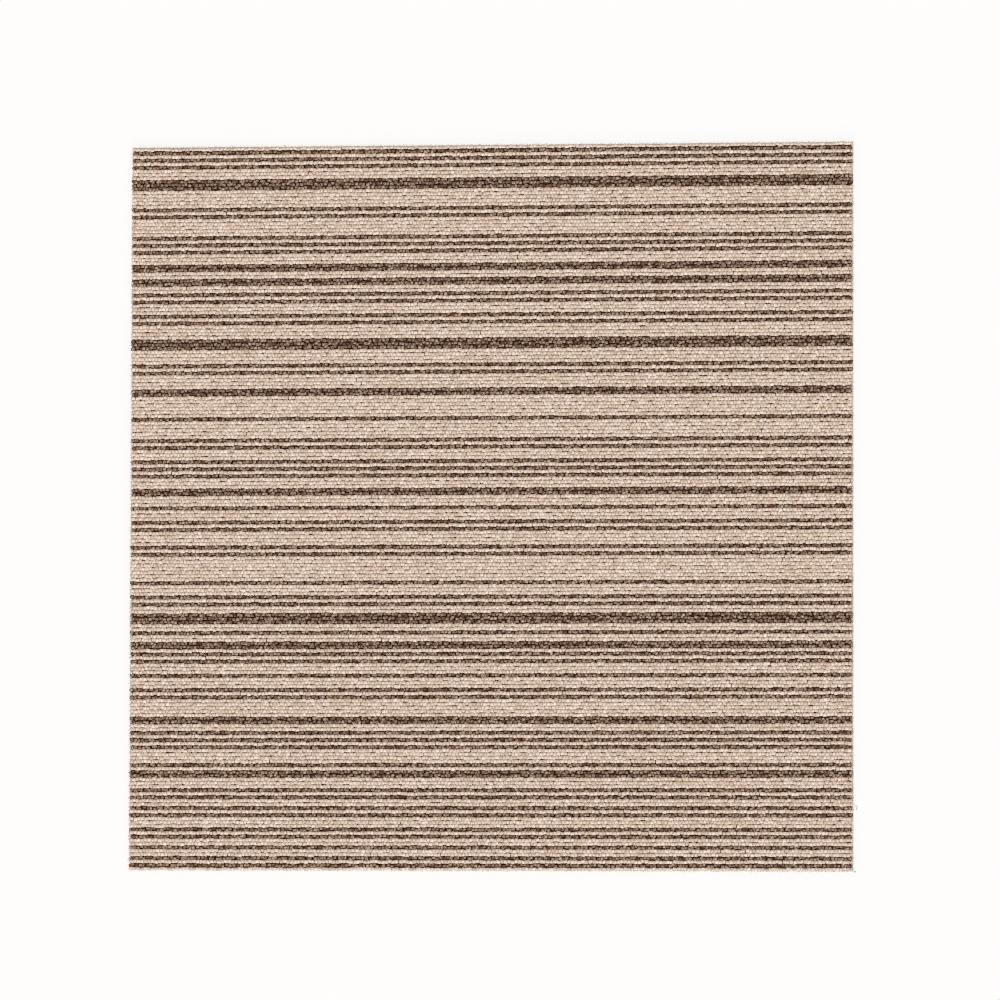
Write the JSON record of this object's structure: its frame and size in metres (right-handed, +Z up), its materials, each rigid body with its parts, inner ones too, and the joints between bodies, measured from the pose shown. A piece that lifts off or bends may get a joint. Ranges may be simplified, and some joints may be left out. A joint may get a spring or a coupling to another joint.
{
  "type": "carpet tile",
  "caption": "Square modular carpet tile: straight rows of cream and brown looped yarn, striped at random widths, on a flat vinyl backing.",
  "frame": {"origin": "centre of the underside, on the floor", "axes": "+X along the yarn rows, +Y across the yarn rows, +Z up out of the pile"},
  "size_m": [0.5, 0.5, 0.0067],
  "materials": {
    "yarn_pile": "looped nylon yarn, cream rows striped with dark brown rows, matt",
    "vinyl_backing": "filled vinyl compound, dark grey, matt"
  },
  "bodies": {
    "root": {"backing": "vinyl_backing", "pile": "yarn_pile"}
  },
  "joints": []
}
